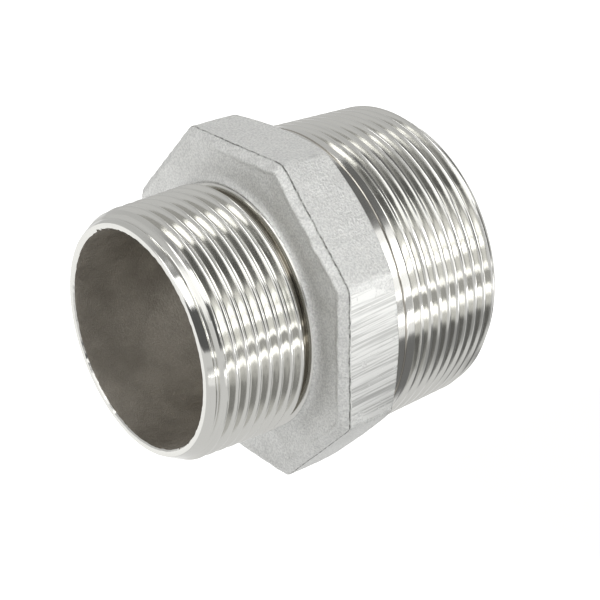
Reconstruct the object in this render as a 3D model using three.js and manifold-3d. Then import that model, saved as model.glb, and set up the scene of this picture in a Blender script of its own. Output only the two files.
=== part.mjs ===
// Reducing pipe nipple with an octagonal wrench collar, taper threads R 1 1/2 and R 2.
// The real fitting is one stainless casting. It is built as the three regions that are made
// differently: two turned and threaded ends, and the cast collar between them. The regions
// meet face to face on planes square to the axis.
//
// Millimetres. While it is built, the fitting's axis is X and x = 0 is the small end's face.
// A place around the axis is an angle from +Z towards -Y. The group at the end sets the
// fitting down on one wrench flat, with the origin below its middle.
import * as THREE from 'three';
import { mergeGeometries, mergeVertices } from 'three/addons/utils/BufferGeometryUtils.js';
import Module from 'manifold-3d';

const wasm = await Module();
wasm.setup();

// Driving dimensions
const TOTAL_LENGTH = 62.5;
const PITCH = 2.309;                 // 11 threads per inch
const TAPER = 1 / 32;                // growth in radius along the thread, 1:16 on diameter
const FLANK_ANGLE = THREE.MathUtils.degToRad(27.5);
const THREAD_DEPTH = 0.6403 * PITCH;
const SMALL_RADIUS = 23.5;           // crest radius at the small end's face, R 1 1/2
const LARGE_RADIUS = 29.31;          // crest radius at the large end's face, R 2
const SMALL_BORE = 20.5;
const LARGE_BORE = 25.5;
const BORE_CONE = { start: 25, end: 37 };       // where the bore opens out
const ACROSS_FLATS = 63;
const COLLAR_FRONT = 22.4;           // front face of the octagon
const COLLAR_BACK_AT_FLAT = 34.8;    // rear edge at the middle of a flat
const COLLAR_BACK_AT_CORNER = 33.3;   // rear edge at a corner
const CORNER_ROUND = 1.2;
const FRONT_ROUND = 1.1;             // round-over between the front face and the flats
const NECK = { start: 19.5, bottomStart: 20.1, bottomEnd: 21, radius: 22.2 };
const RUN_OUT = { start: 38.9, end: 39.5 };     // where the large thread gains its full depth
const SMALL_CHAMFER = { length: 3.1, faceRadius: 21.8 };
const LARGE_CHAMFER = { length: 2.6, faceRadius: 27.6 };
const SMALL_SPLIT = 21.6;            // small end meets the collar's fillet
const FILLET_RADIUS = 23.9;          // outer radius at that plane
const FILLET_MIDDLE = { x: 21.8, radius: 24.5 };
const FACE_INNER_RADIUS = 26;        // where the fillet reaches the front face
const SMALL_FIRST_CREST = 2.5;       // crest position at angle 0
const LARGE_FIRST_CREST = 41.4;
const SMALL_TURNS = { first: -2, last: 8 };     // turns of thread, counted from those crests
const LARGE_TURNS = { first: -4, last: 9 };
const SIDES = 36;                    // facets around the axis, and along one turn of thread
const CLEAR = 0.1;                   // a blank stands this far clear of its thread's crests
const WELD = 1e-4;                   // corners closer than this are one corner
const SPARE = 4;                     // material beyond a face that a later cut removes

// Worked out from them
const apothem = ACROSS_FLATS / 2;
const cornerRadius = apothem / Math.cos(Math.PI / 8);
const smallCrest = (x) => SMALL_RADIUS + TAPER * x;
const largeCrest = (x) => LARGE_RADIUS + TAPER * (TOTAL_LENGTH - x);
const rearSlope = (cornerRadius - apothem) / (COLLAR_BACK_AT_FLAT - COLLAR_BACK_AT_CORNER);
const rearCone = (x) => apothem - rearSlope * (x - COLLAR_BACK_AT_FLAT);
const LARGE_SPLIT = COLLAR_BACK_AT_FLAT + (apothem - largeCrest(COLLAR_BACK_AT_FLAT)) / rearSlope;

function boreRadius(x) {
  const { start, end } = BORE_CONE;
  const opened = THREE.MathUtils.clamp((x - start) / (end - start), 0, 1);
  return THREE.MathUtils.lerp(SMALL_BORE, LARGE_BORE, opened);
}

// A closed three.js geometry as a solid that can be cut and joined.
function toSolid(geometry) {
  const bare = geometry.clone();
  bare.deleteAttribute('normal');
  bare.deleteAttribute('uv');
  const merged = mergeVertices(bare, WELD);
  return new wasm.Manifold(new wasm.Mesh({
    numProp: 3,
    vertProperties: new Float32Array(merged.attributes.position.array),
    triVerts: new Uint32Array(merged.index.array),
  }));
}

function toGeometry(solid) {
  const mesh = solid.getMesh();
  const geometry = new THREE.BufferGeometry();
  geometry.setAttribute('position', new THREE.BufferAttribute(mesh.vertProperties, 3));
  geometry.setIndex(new THREE.BufferAttribute(mesh.triVerts, 1));
  geometry.computeVertexNormals();
  return geometry;
}

// A profile of [x, radius] points turned about the X axis. It starts and ends on the axis or
// closes on itself, and its outer side runs towards the large end.
function turned(profile) {
  const points = profile.map(([x, radius]) => new THREE.Vector2(radius, x));
  return new THREE.LatheGeometry(points, SIDES).rotateZ(-Math.PI / 2);
}

// A solid rod with a right-hand thread all along it. It starts as a turned profile with four
// rows of points to each pitch, and every row is then led forward one pitch in each turn, so
// that it ends where the row one pitch ahead of it starts. That leaves a flat step one pitch
// long at each end, which a ShapeGeometry closes. depthAt gives the thread's depth at x.
function threadedRod(turns, crestAtZero, crestRadius, depthAt) {
  const flank = THREAD_DEPTH * Math.tan(FLANK_ANGLE);
  const flat = PITCH / 2 - flank;
  const ridge = [
    { offset: -flat / 2, depth: 0 },
    { offset: flat / 2, depth: 0 },
    { offset: flat / 2 + flank, depth: 1 },
    { offset: PITCH - flat / 2 - flank, depth: 1 },
  ];
  const rows = [];
  for (let turn = turns.first; turn <= turns.last; turn += 1) {
    rows.push(...ridge.map(({ offset, depth }) => ({ turn, offset, depth })));
  }
  const pointOf = ({ turn, offset, depth }, side) => {
    const x = crestAtZero + PITCH * ((turn * SIDES + side) / SIDES) + offset;
    return { x, radius: crestRadius(x) - depth * depthAt(x) };
  };
  const startX = pointOf(rows[0], 0).x;
  const endX = pointOf(rows[rows.length - 1], SIDES).x;
  const rod = turned([[startX, 0], ...rows.map(() => [0, 1]), [endX, 0]]);
  const place = rod.attributes.position;
  for (let side = 0; side <= SIDES; side += 1) {
    const angle = 2 * Math.PI * (side / SIDES);
    rows.forEach((row, rank) => {
      const { x, radius } = pointOf(row, side);
      const index = side * (rows.length + 2) + rank + 1;
      place.setXYZ(index, x, -radius * Math.sin(angle), radius * Math.cos(angle));
    });
  }
  const step = (steppedRows, side, axisX, sign) => {
    const corners = steppedRows.map((row) => pointOf(row, side));
    const outline = [{ x: axisX, radius: 0 }, ...corners];
    const shape = new THREE.Shape(outline.map(({ x, radius }) => new THREE.Vector2(x, sign * radius)));
    return new THREE.ShapeGeometry(shape).rotateX(sign * Math.PI / 2);
  };
  const startStep = step(rows.slice(0, ridge.length + 1), 0, startX, -1);
  const endStep = step(rows.slice(-ridge.length - 1), SIDES, endX, 1);
  return toSolid(mergeGeometries([rod, startStep, endStep]));
}

function smallThreadedEnd() {
  const { length, faceRadius } = SMALL_CHAMFER;
  const blank = toSolid(turned([
    [0, SMALL_BORE],
    [0, faceRadius],
    [length, smallCrest(length) + CLEAR],
    [NECK.start, smallCrest(NECK.start) + CLEAR],
    [NECK.bottomStart, NECK.radius],
    [NECK.bottomEnd, NECK.radius],
    [SMALL_SPLIT, FILLET_RADIUS],
    [SMALL_SPLIT, SMALL_BORE],
    [0, SMALL_BORE],
  ]));
  const rod = threadedRod(SMALL_TURNS, SMALL_FIRST_CREST, smallCrest, () => THREAD_DEPTH);
  return rod.intersect(blank);
}

function largeThreadedEnd() {
  const { length, faceRadius } = LARGE_CHAMFER;
  const chamferStart = TOTAL_LENGTH - length;
  const blank = toSolid(turned([
    [LARGE_SPLIT, boreRadius(LARGE_SPLIT)],
    [LARGE_SPLIT, largeCrest(LARGE_SPLIT) + CLEAR],
    [chamferStart, largeCrest(chamferStart) + CLEAR],
    [TOTAL_LENGTH, faceRadius],
    [TOTAL_LENGTH, LARGE_BORE],
    [BORE_CONE.end, LARGE_BORE],
    [LARGE_SPLIT, boreRadius(LARGE_SPLIT)],
  ]));
  const { start, end } = RUN_OUT;
  const depthAt = (x) => THREAD_DEPTH * THREE.MathUtils.clamp((x - start) / (end - start), 0, 1);
  return threadedRod(LARGE_TURNS, LARGE_FIRST_CREST, largeCrest, depthAt).intersect(blank);
}

function octagon() {
  const shape = new THREE.Shape();
  const setback = CORNER_ROUND / Math.cos(Math.PI / 8);
  for (let corner = 0; corner < 8; corner += 1) {
    const middle = (corner + 0.5) * Math.PI / 4;
    const reach = cornerRadius - setback;
    shape.absarc(
      reach * Math.cos(middle), reach * Math.sin(middle), CORNER_ROUND,
      middle - Math.PI / 8, middle + Math.PI / 8, false,
    );
  }
  return shape;
}

function octagonCollar() {
  const prism = new THREE.ExtrudeGeometry(octagon(), {
    depth: LARGE_SPLIT - COLLAR_FRONT + SPARE,
    curveSegments: 2,
    bevelThickness: FRONT_ROUND,
    bevelSize: FRONT_ROUND,
    bevelOffset: -FRONT_ROUND,
    bevelSegments: 2,
  });
  prism.rotateY(Math.PI / 2).translate(COLLAR_FRONT + FRONT_ROUND, 0, 0);
  const widest = cornerRadius + SPARE;
  const coneStart = COLLAR_BACK_AT_FLAT - (widest - apothem) / rearSlope;
  const envelope = turned([
    [SMALL_SPLIT, 0],
    [SMALL_SPLIT, widest],
    [coneStart, widest],
    [LARGE_SPLIT, rearCone(LARGE_SPLIT)],
    [LARGE_SPLIT, 0],
  ]);
  const filletFoot = COLLAR_FRONT + SPARE;      // sunk into the octagon
  const fillet = turned([
    [SMALL_SPLIT, 0],
    [SMALL_SPLIT, FILLET_RADIUS],
    [FILLET_MIDDLE.x, FILLET_MIDDLE.radius],
    [COLLAR_FRONT, FACE_INNER_RADIUS],
    [filletFoot, FACE_INNER_RADIUS],
    [filletFoot, 0],
  ]);
  const bore = turned([
    [0, 0],
    [0, SMALL_BORE],
    [BORE_CONE.start, SMALL_BORE],
    [BORE_CONE.end, LARGE_BORE],
    [TOTAL_LENGTH, LARGE_BORE],
    [TOTAL_LENGTH, 0],
  ]);
  return toSolid(prism).intersect(toSolid(envelope)).add(toSolid(fillet)).subtract(toSolid(bore));
}

function region(name, solid, colour, roughness) {
  const material = new THREE.MeshStandardMaterial({ color: colour, roughness, metalness: 1 });
  const mesh = new THREE.Mesh(toGeometry(solid), material);
  mesh.name = name;
  return mesh;
}

const nipple = new THREE.Group();
nipple.add(region('small_threaded_end', smallThreadedEnd(), 0xc9c8c2, 0.22));
nipple.add(region('octagon_collar', octagonCollar(), 0xbdbdb9, 0.5));
nipple.add(region('large_threaded_end', largeThreadedEnd(), 0xc9c8c2, 0.2));
nipple.position.set(-TOTAL_LENGTH / 2, 0, apothem);

export default nipple;
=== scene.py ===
"""A reducing pipe nipple, lying on one flat of its octagonal wrench collar.

One stainless casting in three regions: a turned end with an R 1 1/2 taper thread, the as-cast
collar, and a turned end with an R 2 taper thread. Lengths are millimetres along the fitting's
axis from the small end's face, and become metres when a mesh is made. A place around the axis
is an angle from the top towards the camera's side, that is from +Z towards -Y.
"""
import math

import bpy
import numpy as np
from mathutils import Euler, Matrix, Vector, noise


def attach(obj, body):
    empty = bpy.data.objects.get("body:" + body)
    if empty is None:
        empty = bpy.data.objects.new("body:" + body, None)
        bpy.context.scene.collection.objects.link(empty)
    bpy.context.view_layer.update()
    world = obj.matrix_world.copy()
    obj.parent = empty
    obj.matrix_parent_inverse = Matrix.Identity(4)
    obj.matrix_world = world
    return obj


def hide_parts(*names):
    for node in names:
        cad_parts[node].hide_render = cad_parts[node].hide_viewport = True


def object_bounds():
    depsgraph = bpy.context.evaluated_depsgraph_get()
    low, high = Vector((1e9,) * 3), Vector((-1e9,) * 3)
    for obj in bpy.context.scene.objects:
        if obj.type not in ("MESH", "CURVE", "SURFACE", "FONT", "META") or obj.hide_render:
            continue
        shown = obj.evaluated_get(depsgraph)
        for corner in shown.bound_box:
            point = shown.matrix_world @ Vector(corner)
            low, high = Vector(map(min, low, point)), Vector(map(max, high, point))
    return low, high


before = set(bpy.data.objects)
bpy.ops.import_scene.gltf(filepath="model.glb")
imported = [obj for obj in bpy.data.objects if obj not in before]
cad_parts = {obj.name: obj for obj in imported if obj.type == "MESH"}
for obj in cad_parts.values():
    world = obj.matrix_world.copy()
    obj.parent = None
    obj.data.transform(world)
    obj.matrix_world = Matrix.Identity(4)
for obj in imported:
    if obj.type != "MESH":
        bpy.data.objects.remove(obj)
cad_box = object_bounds()

# ---------------------------------------------------------------- driving dimensions (mm)

PITCH = 2.309
TAPER = 1 / 32
FLANK_TURN = math.radians(62.5)     # from a crest's top to its flanks
CREST_ROUND = 0.15 * PITCH
ROOT_ROUND = 0.1373 * PITCH
THREAD_DEPTH = 0.6255 * PITCH
SMALL_RADIUS = 23.5             # crest radius at each end's face
LARGE_RADIUS = 29.31
CREST_LOSS = (39.0, 61.0, 0.17)     # between these places the large crests are turned down
SMALL_BORE = 20.5
LARGE_BORE = 25.5
BORE_CONE = (25.0, 37.0)
SMALL_CHAMFER = (3.1, 21.8)     # length along the axis, radius at the face
LARGE_CHAMFER = (2.6, 27.6)
# Place along the axis and radius, across the turned neck and up its far lip.
NECK = (
    (19.3, 24.1), (19.75, 22.8), (19.95, 22.5), (20.15, 22.5), (20.22, 22.72), (20.36, 22.72),
    (20.44, 22.4), (20.62, 22.35), (20.68, 22.5), (20.78, 22.5), (20.84, 22.35), (21.0, 22.35),
    (21.1, 22.6), (21.14, 22.95), (21.22, 23.3), (21.38, 23.65), (21.6, 23.9),
)
# The neck's rows short of this place take the darker material: painted shade in its recess.
RECESS_SHADE_NECK_END = 21.15
RUN_OUT = (38.9, 39.5)          # where the large thread gains its depth
# Place along the axis and depth, across the fine groove in the large end's shoulder.
SHOULDER_GROOVE = ((37.5, 0.0), (37.62, 0.16), (37.8, 0.18), (37.95, 0.02), (38.05, 0.0))
COLLAR_FRONT = 22.4
REAR_AT_FLAT = 34.8
REAR_AT_CORNER = 33.3
SMALL_SPLIT = 21.6
FILLET_RADIUS = 23.9
FACE_INNER_RADIUS = 26.0
SMALL_FIRST_CREST = 2.5         # crest position at angle 0
LARGE_FIRST_CREST = 41.4
SNAP = 0.02                     # a row this near an end plane is moved onto it
MOUTH = 0.9                     # length of a bore's ragged mouth
ARC_POINTS = 5                  # points from a crest's top to its flank, and again to the root
STATIONS = 288                  # steps around a threaded end
COLLAR_STATIONS = 720

# Kinds of surface, which are places in the lists of materials at the end.
# On a threaded end the third kind is the darker turned steel of the neck and the fine groove: painted shade
# in those recesses.
TURNED, BORE, RECESS_SHADE = 0, 1, 2                 # on a threaded end
CAST, GROUND, CAST_BORE, SEAM = 0, 1, 2, 3      # on the collar

MM = 0.001
length = (cad_box[1][0] - cad_box[0][0]) / MM
apothem = (cad_box[1][2] - cad_box[0][2]) / 2 / MM
axis_start = Vector((
    cad_box[0][0], (cad_box[0][1] + cad_box[1][1]) / 2, (cad_box[0][2] + cad_box[1][2]) / 2,
))
corner_reach = apothem / math.cos(math.pi / 8)
rear_slope = (corner_reach - apothem) / (REAR_AT_FLAT - REAR_AT_CORNER)


def small_crest(x):
    return SMALL_RADIUS + TAPER * x


def large_crest(x):
    return LARGE_RADIUS + TAPER * (length - x)


large_split = REAR_AT_FLAT + (apothem - large_crest(REAR_AT_FLAT)) / rear_slope


def bore_radius(x):
    return np.interp(x, BORE_CONE, (SMALL_BORE, LARGE_BORE))


# ---------------------------------------------------------------- surface roughness of a casting

def lumps(points, size, seed, octaves=3):
    """Smooth noise of about -1 to 1 at points (an array of xyz in mm), with lumps of that size."""
    shift = Vector((seed * 17.3, seed * 5.1, seed * 9.7))
    return np.array([
        noise.fractal(Vector(p) / size + shift, 1.0, 2.0, octaves, noise_basis="PERLIN_ORIGINAL")
        for p in points.reshape(-1, 3)
    ]).reshape(points.shape[:-1])


def place(xs, radii, angles):
    """Points in mm, in the fitting's own coordinates."""
    return np.stack([xs, -radii * np.sin(angles), radii * np.cos(angles)], axis=-1)


# ---------------------------------------------------------------- meshes

def make_mesh(name, points, faces, face_materials, materials, sharp_angle):
    """points in mm in the fitting's own coordinates. Faces that have shrunk to an edge are
    left out, and those that have lost one corner become triangles."""
    kept, indices = [], []
    for face, material in zip(faces.tolist(), face_materials.tolist()):
        corners = [v for k, v in enumerate(face) if v != face[k - 1]][::-1]
        if len(corners) > 2:
            kept.append(corners)
            indices.append(material)
    mesh = bpy.data.meshes.new(name)
    placed = points * MM + np.array(axis_start)
    mesh.from_pydata(placed.tolist(), [], kept)
    for material in materials:
        mesh.materials.append(material)
    mesh.polygons.foreach_set("material_index", indices)
    mesh.polygons.foreach_set("use_smooth", [True] * len(kept))
    mesh.set_sharp_from_angle(angle=sharp_angle)
    mesh.validate()
    mesh.update()
    piece = bpy.data.objects.new(name, mesh)
    bpy.context.collection.objects.link(piece)
    return piece


def ring_faces(rows):
    """Quads between neighbouring rows of vertex numbers, each row running once around."""
    beside = np.roll(rows, -1, axis=1)
    return np.stack([rows[:-1], beside[:-1], beside[1:], rows[1:]], axis=-1).reshape(-1, 4)


def thread_profile():
    """One pitch of thread as rows from crest to crest: place along the axis, and depth."""
    arc = np.linspace(0, FLANK_TURN, ARC_POINTS)
    along, inwards = np.sin(arc), 1 - np.cos(arc)
    crest_x, crest_depth = CREST_ROUND * along, CREST_ROUND * inwards
    root_x, root_depth = PITCH / 2 - ROOT_ROUND * along[::-1], THREAD_DEPTH - ROOT_ROUND * inwards[::-1]
    flank_x, flank_depth = (crest_x[-1] + root_x[0]) / 2, (crest_depth[-1] + root_depth[0]) / 2
    x = np.concatenate([crest_x, [flank_x], root_x])
    depth = np.concatenate([crest_depth, [flank_depth], root_depth])
    return np.concatenate([x, PITCH - x[-2:0:-1]]), np.concatenate([depth, depth[-2:0:-1]])


def thread_depth(x, angles, first_crest):
    """Depth of the thread below its crests at any place."""
    profile_x, profile_depth = thread_profile()
    along = np.mod(x - first_crest - PITCH * angles / (2 * math.pi), PITCH)
    return np.interp(along, np.append(profile_x, PITCH), np.append(profile_depth, 0.0))


def threaded_end(name, x_start, x_end, first_crest, radius_at, plain_rows_of, materials):
    """A closed ring with a right-hand thread outside, from x_start to x_end. Every row of that
    part is led forward one pitch in each turn, and stops at the two planes. plain_rows_of gives
    all the other rows, from x_start round to x_end, and the kind of surface after each row."""
    profile_x, profile_depth = thread_profile()
    rows_per_pitch = len(profile_x)
    first_turn = math.floor((x_start - first_crest) / PITCH) - 2
    turn_count = math.ceil((x_end - first_crest) / PITCH) + 2 - first_turn
    turns = np.repeat(np.arange(first_turn, first_turn + turn_count), rows_per_pitch)[:, None]
    offsets = np.tile(profile_x, turn_count)[:, None]
    depths = np.tile(profile_depth, turn_count)[:, None]
    columns = np.arange(STATIONS + 1)[None, :]
    angles = 2 * math.pi * columns / STATIONS
    xs = first_crest + PITCH * (turns + columns / STATIONS) + offsets
    before, beyond = xs < x_start + SNAP, xs > x_end - SNAP
    stopped = before | beyond
    xs = np.where(before, x_start, np.where(beyond, x_end, xs))
    depths = np.where(stopped, thread_depth(xs, angles, first_crest), depths)
    radii = radius_at(xs, depths)

    station = np.arange(STATIONS)
    around = angles[0, :-1]
    rims = [
        radius_at(x + 0 * around, thread_depth(x, around, first_crest)) for x in (x_start, x_end)
    ]
    plain_x, plain_r, kinds = plain_rows_of(around)
    plain_x = np.vstack([x_start + 0 * around, plain_x, x_end + 0 * around])
    plain_r = np.vstack([rims[0], plain_r, rims[1]])
    plain_rows = np.arange(plain_x.size).reshape(plain_x.shape)

    numbers = np.arange(xs.shape[0] * STATIONS).reshape(-1, STATIONS) + plain_x.size
    led = np.zeros(xs.shape, dtype=int)
    led[:, :STATIONS] = numbers
    led[:-rows_per_pitch, STATIONS] = numbers[rows_per_pitch:, 0]
    rim_number = np.append(station, 0)[None, :]
    led = np.where(xs == x_start, plain_rows[0][rim_number], led)
    led = np.where(xs == x_end, plain_rows[-1][rim_number], led)
    outside = np.stack([led[:-1, :-1], led[1:, :-1], led[1:, 1:], led[:-1, 1:]], axis=-1).reshape(-1, 4)
    faces = np.concatenate([ring_faces(plain_rows), outside])
    kinds = np.concatenate([np.repeat(kinds, STATIONS), np.zeros(len(outside), dtype=int)])
    points = np.concatenate([
        place(plain_x, plain_r, around).reshape(-1, 3),
        place(xs, radii, angles)[:, :STATIONS].reshape(-1, 3),
    ])
    used = np.zeros(len(points), dtype=bool)
    used[faces.reshape(-1)] = True
    renumbered = np.cumsum(used) - 1
    return make_mesh(name, points[used], renumbered[faces], kinds, materials, math.radians(28))


def cast_bore(angles, x_values, seed):
    """Rows of the bore's lumpy skin."""
    rows = []
    for x in x_values:
        circle = place(x + 0 * angles, bore_radius(x) + 0 * angles, angles)
        rows.append((x + 0 * angles, bore_radius(x) + 0.05 * lumps(circle, 4.0, seed), BORE))
    return rows


def bore_mouth(angles, face_x, inwards, radius, seed):
    """Rows from a turned end face over the ragged edge of the bore, from the face inwards."""
    circle = place(0 * angles, radius + 0 * angles, angles)
    ragged = 0.13 * lumps(circle, 1.1, seed)
    return [
        (face_x + 0 * angles, radius + 0.7 + 0 * angles, TURNED),
        (face_x + inwards * 0.03 + 0 * angles, radius + 0.3 + ragged, TURNED),
        (face_x + inwards * (0.25 + 1.2 * np.abs(ragged)), radius + 0.04 + 0.8 * ragged, BORE),
    ]


def stacked(rows):
    xs, radii, kinds = zip(*rows)
    return np.vstack(xs), np.vstack(radii), np.array((TURNED,) + kinds)


def small_end(materials):
    chamfer_length, face_radius = SMALL_CHAMFER
    neck_x, neck_radii = zip(*NECK)

    def radius_at(x, depth):
        chamfer = np.interp(
            x, (0, 0.1, chamfer_length, chamfer_length + 0.01),
            (face_radius - 0.08, face_radius + 0.05, small_crest(chamfer_length), 99.0),
        )
        return np.minimum(np.minimum(small_crest(x) - depth, chamfer), np.interp(x, neck_x, neck_radii))

    def plain_rows_of(angles):
        rows = bore_mouth(angles, 0.0, 1, SMALL_BORE, 3)
        rows += cast_bore(angles, np.linspace(MOUTH, SMALL_SPLIT, 26), 5)
        for x in np.linspace(SMALL_SPLIT, neck_x[0], 64)[:-1]:
            depth = thread_depth(x, angles, SMALL_FIRST_CREST)
            # The darker material here is painted shade in the neck's recess.
            kind = RECESS_SHADE if x < RECESS_SHADE_NECK_END else TURNED
            rows.append((x + 0 * angles, radius_at(x + 0 * angles, depth), kind))
        return stacked(rows)

    return threaded_end(
        "small_end_turned", 0.0, neck_x[0], SMALL_FIRST_CREST, radius_at, plain_rows_of, materials,
    )


def large_end(materials):
    chamfer_length, face_radius = LARGE_CHAMFER

    def radius_at(x, depth):
        start, end, loss = CREST_LOSS
        lift = np.interp(x, RUN_OUT, (THREAD_DEPTH, 0)) + np.interp(x, (start, end), (loss, 0))
        blank = np.interp(
            x, (large_split, length - chamfer_length, length - 0.1, length),
            (large_crest(large_split), large_crest(length - chamfer_length),
             face_radius + 0.1, face_radius - 0.05),
        )
        return np.minimum(blank, large_crest(x) - depth + lift)

    def plain_rows_of(angles):
        rows = bore_mouth(angles, length, -1, LARGE_BORE, 7)
        rows += cast_bore(angles, np.linspace(length - MOUTH, large_split, 32), 9)
        groove_x, groove_depths = zip(*SHOULDER_GROOVE)
        for x in (large_split, large_split + 0.6, *groove_x, 38.4):
            radius = large_crest(x) - np.interp(x, groove_x, groove_depths)
            in_groove = groove_x[0] < x <= groove_x[-2]
            # The fine groove takes the darker material: painted shade in the groove.
            rows.append((x + 0 * angles, radius + 0 * angles, RECESS_SHADE if in_groove else TURNED))
        xs, radii, kinds = stacked(rows)
        return xs[::-1], radii[::-1], kinds[::-1]

    return threaded_end(
        "large_end_turned", RUN_OUT[0], length, LARGE_FIRST_CREST, radius_at, plain_rows_of, materials,
    )


# ---------------------------------------------------------------- the cast collar

# How far each flat stands from the axis, from the top round towards the camera's side. The
# third one is ground: the others are as cast.
FLAT_APOTHEMS = np.array([31.48, 31.9, 31.3, 31.6, 31.48, 31.6, 31.5, 31.7])
GROUND_FLAT = 2
CORNER_SHARPNESS = 4.0


def octagon_reach(angles):
    """Distance from the axis to the octagon's rounded outline."""
    facing = np.arange(8)[:, None] * math.pi / 4
    lean = np.cos(angles[None, :] - facing)
    reach = np.where(lean > 0.5, FLAT_APOTHEMS[:, None] / np.maximum(lean, 0.5), 99.0)
    nearest = reach.min(axis=0)
    blend = np.exp(-CORNER_SHARPNESS * (reach - nearest)).sum(axis=0)
    return nearest - np.log(blend) / CORNER_SHARPNESS


def collar(materials):
    angles = np.linspace(0, 2 * math.pi, COLLAR_STATIONS, endpoint=False)
    reach = octagon_reach(angles)
    one = np.ones(COLLAR_STATIONS)
    wave = lumps(place(0 * one, 31.5 * one, angles), 1.6, 11, octaves=4)
    edge_x = 23.55 + 0.16 * wave
    xs, radii, kinds, rough = [], [], [], []

    def row(x, radius, kind=CAST, amount=0.0):
        xs.append(x * one)
        radii.append(radius * one)
        kinds.append(kind)
        rough.append(amount)

    # Fillet from the small end's neck, then the front face out to its rim.
    row(SMALL_SPLIT, FILLET_RADIUS)
    for share in np.linspace(0.1, 1.0, 8):
        swing = share * math.pi / 2
        row(
            SMALL_SPLIT + (COLLAR_FRONT - SMALL_SPLIT) * math.sin(swing),
            FACE_INNER_RADIUS - (FACE_INNER_RADIUS - FILLET_RADIUS) * math.cos(swing), CAST, share,
        )
    ridge_inset = 2.5
    inner, outer = FACE_INNER_RADIUS, reach - ridge_inset
    for share in np.linspace(0, 1, 15)[1:]:
        row(COLLAR_FRONT, inner + (outer - inner) * share, CAST, 1.0)
    # A soft ridge, the bevel, and the wavy seam where the flats start. Each pair is a place
    # inwards from the flats and a share of the way from the front face back to the seam.
    ridge_wave = 0.35 * lumps(place(0 * one, 30.0 * one, angles), 2.4, 23, octaves=3)
    bevel = (
        (2.3, -0.03), (2.1, -0.07), (1.9, -0.1), (1.72, -0.1), (1.56, -0.06), (1.42, 0.02), (1.3, 0.12),
        (1.1, 0.29), (0.9, 0.45), (0.7, 0.6), (0.5, 0.74), (0.34, 0.85), (0.22, 0.94),
    )
    for inset, share in bevel:
        blend = min(1.0, (ridge_inset - inset) / 0.6) * min(1.0, inset)
        bevel_x = COLLAR_FRONT + (edge_x - COLLAR_FRONT) * share * 0.95
        row(bevel_x, reach - inset + blend * ridge_wave, CAST, 1.0)
    # The seam rows take the darkened material: painted shade in the groove.
    row(edge_x - 0.1, reach - 0.1, SEAM, 0.7)
    row(edge_x, reach - 0.24, SEAM, 0.3)
    row(edge_x + 0.1, reach - 0.22, SEAM, 0.3)
    flat_start = edge_x + 0.2
    row(flat_start, reach - 0.01, CAST, 1.0)
    # Flats, back to the rear cone.
    rear = REAR_AT_FLAT - (reach - apothem) / rear_slope
    for share in np.linspace(0, 1, 42)[1:-1]:
        row(flat_start + (rear - 0.15 - flat_start) * share, reach, GROUND, 1.0)
    row(rear - 0.1, reach - 0.01, GROUND, 1.0)
    row(rear + 0.02, reach - 0.08, CAST, 0.5)
    for share in (0.35, 0.7):
        cone_x = rear + (large_split - rear) * share
        row(cone_x, apothem - rear_slope * (cone_x - REAR_AT_FLAT), CAST, 0.5)
    row(large_split, large_crest(large_split))
    # Split plane inwards, the bore, and the front split plane outwards.
    for x in np.linspace(large_split, SMALL_SPLIT, 18):
        row(x, bore_radius(x), CAST_BORE)
    kinds[-1] = CAST
    xs, radii = np.vstack(xs), np.vstack(radii)
    amount = np.array(rough)[:, None]
    points = place(xs, radii, angles[None, :])
    grain = 0.022 * lumps(points, 0.75, 13, octaves=3) + 0.05 * lumps(points, 3.5, 17, octaves=2)
    front = np.isclose(xs, COLLAR_FRONT)
    at_corner = np.abs(np.mod(angles / (math.pi / 4), 1.0) - 0.5) < 0.07
    bump = grain * amount * np.where(at_corner, 1.8, 1.0)
    radii = np.where(front, radii, radii + bump - 0.03 * amount)
    xs = np.where(front, xs - bump, xs)
    # One flat is ground dead flat through the casting's skin. Rows across the flats count as
    # ground only where that cut reached them.
    lean = np.cos(angles - GROUND_FLAT * math.pi / 4)[None, :]
    ground_plane = (FLAT_APOTHEMS[GROUND_FLAT] - 0.06) / np.maximum(lean, 0.5)
    is_flat = (np.array(kinds) == GROUND)[:, None] & (lean > math.cos(math.pi / 8 + 0.06))
    ground = is_flat & (radii > ground_plane)
    radii = np.where(ground, ground_plane, radii)
    points = place(xs, radii, angles[None, :])
    rows = np.arange(points.shape[0] * COLLAR_STATIONS).reshape(-1, COLLAR_STATIONS)
    rows = np.vstack([rows, rows[:1]])
    kind_grid = np.repeat(np.array(kinds)[:, None], COLLAR_STATIONS, axis=1)
    next_ground = np.roll(ground, -1, axis=1)
    was_cut = np.where(ground & next_ground, GROUND, CAST)
    kind_grid = np.where(kind_grid == GROUND, was_cut, kind_grid)
    faces = ring_faces(rows)[:, ::-1]
    return make_mesh(
        "collar_cast", points.reshape(-1, 3), faces, kind_grid.reshape(-1), materials, math.radians(35),
    )


# ---------------------------------------------------------------- shader helpers

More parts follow.
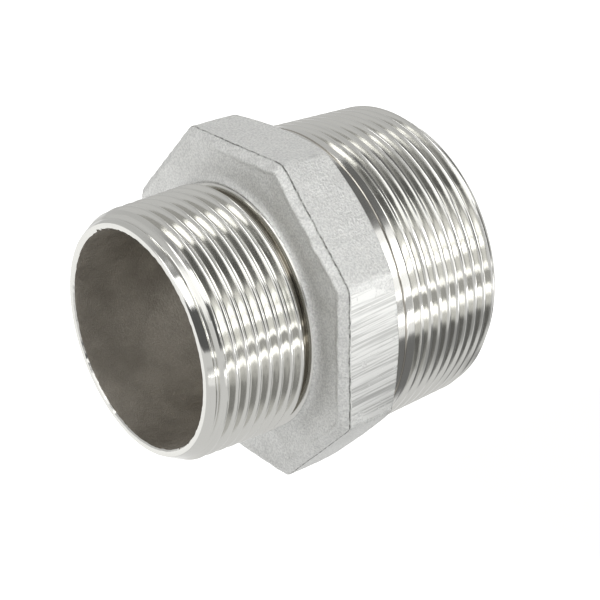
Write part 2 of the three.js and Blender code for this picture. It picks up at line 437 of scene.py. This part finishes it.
class Nodes:
    """Adds nodes to one tree. Plain numbers and sockets can both be given as inputs."""

    def __init__(self, tree):
        self.tree = tree

    def add(self, kind, inputs=(), **settings):
        node = self.tree.nodes.new(kind)
        for key, value in settings.items():
            setattr(node, key, value)
        for key, value in dict(inputs).items():
            if isinstance(value, bpy.types.NodeSocket):
                self.tree.links.new(value, node.inputs[key])
            else:
                node.inputs[key].default_value = value
        return node

    def math(self, operation, a, b=0.0, c=0.0):
        return self.add("ShaderNodeMath", {0: a, 1: b, 2: c}, operation=operation).outputs[0]

    def vector(self, operation, a, b=(0, 0, 0)):
        node = self.add("ShaderNodeVectorMath", {0: a, 1: b}, operation=operation)
        return node.outputs["Value" if operation in ("DOT_PRODUCT", "LENGTH") else "Vector"]

    def scaled(self, vector, amount):
        node = self.add("ShaderNodeVectorMath", {0: vector, "Scale": amount}, operation="SCALE")
        return node.outputs["Vector"]

    def split(self, vector):
        return self.add("ShaderNodeSeparateXYZ", {0: vector}).outputs

    def joined(self, x, y, z):
        return self.add("ShaderNodeCombineXYZ", {0: x, 1: y, 2: z}).outputs[0]

    def ranged(self, value, low, high, out_low=0.0, out_high=1.0, interpolation="SMOOTHSTEP"):
        return self.add(
            "ShaderNodeMapRange",
            {"Value": value, "From Min": low, "From Max": high, "To Min": out_low, "To Max": out_high},
            interpolation_type=interpolation,
        ).outputs[0]

    def mixed(self, share, a, b):
        return self.add("ShaderNodeMix", {0: share, 6: a, 7: b}, data_type="RGBA").outputs[2]

    def noise(self, vector, scale, detail=2.0, roughness=0.5, w=None):
        inputs = {"Vector": vector, "Scale": scale, "Detail": detail, "Roughness": roughness}
        if w is not None:
            inputs["W"] = w
        dimensions = "3D" if w is None else "4D"
        return self.add("ShaderNodeTexNoise", inputs, noise_dimensions=dimensions).outputs[0]

    def bump(self, height, distance, normal=None):
        inputs = {"Height": height, "Distance": distance * MM, "Strength": 1.0}
        if normal is not None:
            inputs["Normal"] = normal
        return self.add("ShaderNodeBump", inputs).outputs[0]


def new_material(name, roughness, anisotropic=0.0):
    material = bpy.data.materials.new(name)
    material.use_nodes = True
    nodes = Nodes(material.node_tree)
    shader = material.node_tree.nodes["Principled BSDF"]
    shader.inputs["Metallic"].default_value = 1.0
    shader.inputs["Roughness"].default_value = roughness
    shader.inputs["Anisotropic"].default_value = anisotropic
    shader.inputs["Anisotropic Rotation"].default_value = 0.25
    place_mm = nodes.scaled(nodes.add("ShaderNodeTexCoord").outputs["Object"], 1 / MM)
    from_axis = nodes.vector("SUBTRACT", place_mm, tuple(c / MM for c in axis_start))
    return material, nodes, shader, from_axis


def link(material, value, socket):
    material.node_tree.links.new(value, socket)


def turned_steel(name, shade):
    """Bright turned stainless, with fine tool marks that run around the axis. A shade below 1 darkens and
    browns the colour: painted shade for the neck and the fine groove, which lie in recesses."""
    material, nodes, shader, place_mm = new_material(name, 0.12, anisotropic=0.85)
    x, y, z = nodes.split(place_mm)
    radius = nodes.vector("LENGTH", nodes.joined(0.0, y, z))
    around = nodes.joined(nodes.math("MULTIPLY", x, 7.0), nodes.math("DIVIDE", y, radius),
                          nodes.math("DIVIDE", z, radius))
    marks = nodes.noise(around, 1.0, 3.0, 0.6, nodes.math("MULTIPLY", radius, 7.0))
    broad = nodes.noise(place_mm, 0.25, 2.0)
    dull, bright = (
        (red * shade, green * shade ** 1.08, blue * shade ** 1.2, 1)
        for red, green, blue in ((0.64, 0.635, 0.605), (0.73, 0.725, 0.69))
    )
    colour = nodes.mixed(marks, dull, bright)
    link(material, colour, shader.inputs["Base Color"])
    link(material, nodes.ranged(broad, 0.3, 0.7, 0.09, 0.15), shader.inputs["Roughness"])
    link(material, nodes.bump(marks, 0.006), shader.inputs["Normal"])
    tangent = nodes.add("ShaderNodeTangent", direction_type="RADIAL", axis="X").outputs[0]
    link(material, tangent, shader.inputs["Tangent"])
    return material


def cast_steel():
    """Blasted casting skin: matt, with a fine pebbled grain."""
    material, nodes, shader, place_mm = new_material("cast_steel", 0.5)
    grain = nodes.noise(place_mm, 2.6, 3.0, 0.6)
    fine = nodes.noise(place_mm, 9.0, 2.0, 0.5)
    broad = nodes.noise(place_mm, 0.18, 2.0)
    colour = nodes.mixed(nodes.ranged(grain, 0.3, 0.7), (0.62, 0.622, 0.61, 1), (0.82, 0.822, 0.8, 1))
    link(material, colour, shader.inputs["Base Color"])
    link(material, nodes.ranged(broad, 0.3, 0.7, 0.52, 0.64), shader.inputs["Roughness"])
    normal = nodes.bump(fine, 0.02)
    link(material, nodes.bump(grain, 0.14, normal), shader.inputs["Normal"])
    return material


def ground_steel():
    """The flat that was linished on a belt: long scratches along the axis, slightly askew."""
    material, nodes, shader, place_mm = new_material("ground_steel", 0.36)
    askew = nodes.add(
        "ShaderNodeVectorRotate", {"Vector": place_mm, "Angle": math.radians(4)}, rotation_type="Y_AXIS",
    ).outputs[0]
    along = nodes.vector("MULTIPLY", askew, (0.05, 1.0, 2.4))
    scratches = nodes.noise(along, 1.0, 3.0, 0.6)
    pits = nodes.noise(place_mm, 1.3, 3.0, 0.6)
    colour = nodes.mixed(nodes.ranged(scratches, 0.4, 0.56), (0.54, 0.542, 0.525, 1), (0.8, 0.802, 0.78, 1))
    link(material, colour, shader.inputs["Base Color"])
    link(material, nodes.ranged(scratches, 0.3, 0.7, 0.38, 0.5), shader.inputs["Roughness"])
    normal = nodes.bump(nodes.ranged(pits, 0.25, 0.36), 0.03)
    link(material, nodes.bump(scratches, 0.03, normal), shader.inputs["Normal"])
    return material


def shaded_seam_steel():
    """The shallow groove where the casting's bevel meets its flats, its colour darkened: painted shade in
    the groove.
    """
    material, nodes, shader, place_mm = new_material("shaded_seam_steel", 0.6)
    grain = nodes.noise(place_mm, 1.2, 3.0, 0.6)
    colour = nodes.mixed(nodes.ranged(grain, 0.35, 0.65), (0.25, 0.25, 0.24, 1), (0.62, 0.62, 0.6, 1))
    link(material, colour, shader.inputs["Base Color"])
    link(material, nodes.bump(grain, 0.05), shader.inputs["Normal"])
    return material


def bore_steel():
    """The bore's as-cast skin, duller and browner than the blasted outside."""
    material, nodes, shader, place_mm = new_material("bore_steel", 0.6)
    stain = nodes.noise(place_mm, 0.12, 3.0, 0.55)
    grain = nodes.noise(place_mm, 2.2, 3.0, 0.6)
    colour = nodes.mixed(nodes.ranged(stain, 0.3, 0.7), (0.36, 0.335, 0.295, 1), (0.5, 0.47, 0.42, 1))
    link(material, colour, shader.inputs["Base Color"])
    link(material, nodes.ranged(grain, 0.3, 0.7, 0.5, 0.7), shader.inputs["Roughness"])
    link(material, nodes.bump(grain, 0.06), shader.inputs["Normal"])
    return material


# ---------------------------------------------------------------- the studio

def inside(nodes, offset, half, softness):
    """1 where a place is within half of a card's middle, falling to 0 across a soft edge."""
    distance = nodes.math("ABSOLUTE", offset)
    return nodes.ranged(distance, half + softness / 2, half - softness / 2)


def make_table(name, colour, emission):
    """A pale, level table top under the fitting, with a glow of its own."""
    size = 2.5          # half its width, in metres
    mesh = bpy.data.meshes.new(name)
    z = cad_box[0][2]
    corners = [(-size, -size, z), (size, -size, z), (size, size, z), (-size, size, z)]
    mesh.from_pydata(corners, [], [(0, 1, 2, 3)])
    table = bpy.data.objects.new(name, mesh)
    bpy.context.collection.objects.link(table)
    material = bpy.data.materials.new(name)
    material.use_nodes = True
    shader = material.node_tree.nodes["Principled BSDF"]
    shader.inputs["Base Color"].default_value = colour
    shader.inputs["Roughness"].default_value = 1.0
    shader.inputs["Specular IOR Level"].default_value = 0.0
    shader.inputs["Emission Color"].default_value = (1, 1, 0.99, 1)
    shader.inputs["Emission Strength"].default_value = emission
    mesh.materials.append(material)
    return table


# What the steel reflects from the table: middle x and y, half sizes, softness, all in mm, and how bright
# each patch is. The table is TABLE_LIGHT elsewhere. The brighter patches are painted light and the darker
# ones painted shadow, in the table's glow.
TABLE_LIGHT = 0.8
TABLE_PATCHES = (
    ("painted light at the back left", -80, 75, 65, 75, 20, 1.2),
    ("painted shade at the right", 1180, -1315, 1280, 1185, 10, 0.65),
    ("far edge in the window's light", 1180, -1450, 1280, 1070, 60, 2.8),
    ("strip of light", 60, -119, 130, 20, 5, 3.0),
    ("grey in front of the strip", 60, -86, 130, 12, 6, 1.1),
    ("shade beside the large end", 66, -49, 52, 24, 8, 0.2),
    ("half shade by the small end", -14, -46, 12, 16, 10, 0.4),
)


def make_floor():
    """The table is made twice. The camera sees a brightly lit sweep, and the steel reflects a copy of the
    table that only glows, with light and shade painted into its glow: painted light and painted shadow, the
    fitting's own shadow among them."""
    seen = make_table("floor", (0.55, 0.55, 0.54, 1), 0.9)
    seen.visible_diffuse = seen.visible_glossy = seen.visible_shadow = False
    reflected = make_table("floor_reflected", (0, 0, 0, 1), 1.0)
    reflected.visible_camera = False
    material = reflected.data.materials[0]
    nodes = Nodes(material.node_tree)
    x, y, _ = nodes.split(nodes.scaled(nodes.add("ShaderNodeTexCoord").outputs["Object"], 1 / MM))
    light = (TABLE_LIGHT, TABLE_LIGHT, TABLE_LIGHT, 1)
    for _, middle_x, middle_y, half_x, half_y, softness, brightness in TABLE_PATCHES:
        mask = nodes.math(
            "MULTIPLY",
            inside(nodes, nodes.math("SUBTRACT", x, middle_x), half_x, softness),
            inside(nodes, nodes.math("SUBTRACT", y, middle_y), half_y, softness),
        )
        light = nodes.mixed(mask, light, (brightness, brightness, brightness, 1))
    link(material, light, material.node_tree.nodes["Principled BSDF"].inputs["Emission Color"])


def direction(azimuth, elevation):
    """A unit vector, with azimuth from +X towards +Y, both in degrees."""
    a, e = math.radians(azimuth), math.radians(elevation)
    return Vector((math.cos(a) * math.cos(e), math.sin(a) * math.cos(e), math.sin(e)))


# Cards and lamps around the table: azimuth, elevation, half width, half height, softness,
# all in degrees, and how bright each one is.
CARDS = (
    ("left wall", 140, 8, 34, 20, 8, 0.7),
    ("left table edge", 178, 4, 14, 14, 6, 1.4),
    ("soft light at the left", -170, 24, 15, 12, 6, 1.5),
    ("lamp over the left", -156, 52, 30, 12, 4, 2.8),
    ("lamp over the front left", -100, 50, 21, 11, 4, 2.6),
    ("dark ceiling at the left", 150, 72, 28, 7, 5, 0.35),
    ("dark ceiling at the right", -16, 54, 27, 16, 3, 0.18),
    ("lamp at the back right", 44, 62, 12.5, 7, 3, 3.2),
    ("window at the right", -54, 17, 20, 18, 1.5, 1.35),
    ("upper pane", -54, 22.6, 20, 4.2, 0.8, 2.8),
    ("lower pane", -54, 13.0, 20, 3.2, 0.8, 3.8),
    ("dark room behind the camera", -125, 18, 28, 18, 5, 0.12),
)
ROOM_LIGHT = 0.62


def make_world():
    world = bpy.data.worlds.new("studio")
    bpy.context.scene.world = world
    world.use_nodes = True
    tree = world.node_tree
    nodes = Nodes(tree)
    ray = nodes.add("ShaderNodeTexCoord").outputs["Generated"]
    light = (ROOM_LIGHT, ROOM_LIGHT, ROOM_LIGHT, 1)
    for _, azimuth, elevation, half_width, half_height, softness, brightness in CARDS:
        centre = direction(azimuth, elevation)
        side = direction(azimuth + 90, 0)
        up = centre.cross(side)
        ahead = nodes.vector("DOT_PRODUCT", ray, tuple(centre))
        mask = nodes.math("GREATER_THAN", ahead, 0.0)
        for across, half in ((side, half_width), (up, half_height)):
            offset = nodes.math("DIVIDE", nodes.vector("DOT_PRODUCT", ray, tuple(across)), ahead)
            inner, outer = (math.tan(math.radians(half + part)) for part in (-softness / 2, softness / 2))
            edge = inside(nodes, offset, (inner + outer) / 2, outer - inner)
            mask = nodes.math("MULTIPLY", mask, edge)
        light = nodes.mixed(mask, light, (brightness, brightness, brightness, 1))
    seen = nodes.add("ShaderNodeLightPath").outputs["Is Camera Ray"]
    background = tree.nodes["Background"]
    tree.links.new(nodes.mixed(seen, light, (1, 1, 1, 1)), background.inputs["Color"])


def make_camera():
    """A long lens, looking down along the small end's side of the fitting."""
    yaw, pitch, roll = 38.37, -25.86, -1.1
    back_off = 0.29295
    aim = Vector((0.00349, -0.00371, 0.02997))
    forward = direction(90 - yaw, pitch)
    camera = bpy.data.objects.new("camera", bpy.data.cameras.new("camera"))
    bpy.context.collection.objects.link(camera)
    camera.location = aim - forward * back_off
    turn = forward.to_track_quat("-Z", "Y").to_matrix().to_euler()
    camera.rotation_euler = (turn.to_matrix() @ Euler((0, 0, math.radians(roll))).to_matrix()).to_euler()
    camera.data.lens = 93.0
    camera.data.sensor_width = 36.0
    bpy.context.scene.camera = camera


make_camera()
make_floor()
make_world()
bpy.context.scene.view_settings.view_transform = "Standard"

# The second turned steel is darkened and browned: painted shade for the neck and the fine groove.
turned, recess_shaded = turned_steel("turned_steel", 1.0), turned_steel("recess_shade_steel", 0.6)
cast, ground, bore_skin, seam = cast_steel(), ground_steel(), bore_steel(), shaded_seam_steel()
for piece, node, slot in (
    (small_end([turned, bore_skin, recess_shaded]), "small_threaded_end", "turned_steel"),
    (collar([cast, ground, bore_skin, seam]), "octagon_collar", "cast_steel"),
    (large_end([turned, bore_skin, recess_shaded]), "large_threaded_end", "turned_steel"),
):
    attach(piece, "root")
    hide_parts(node)
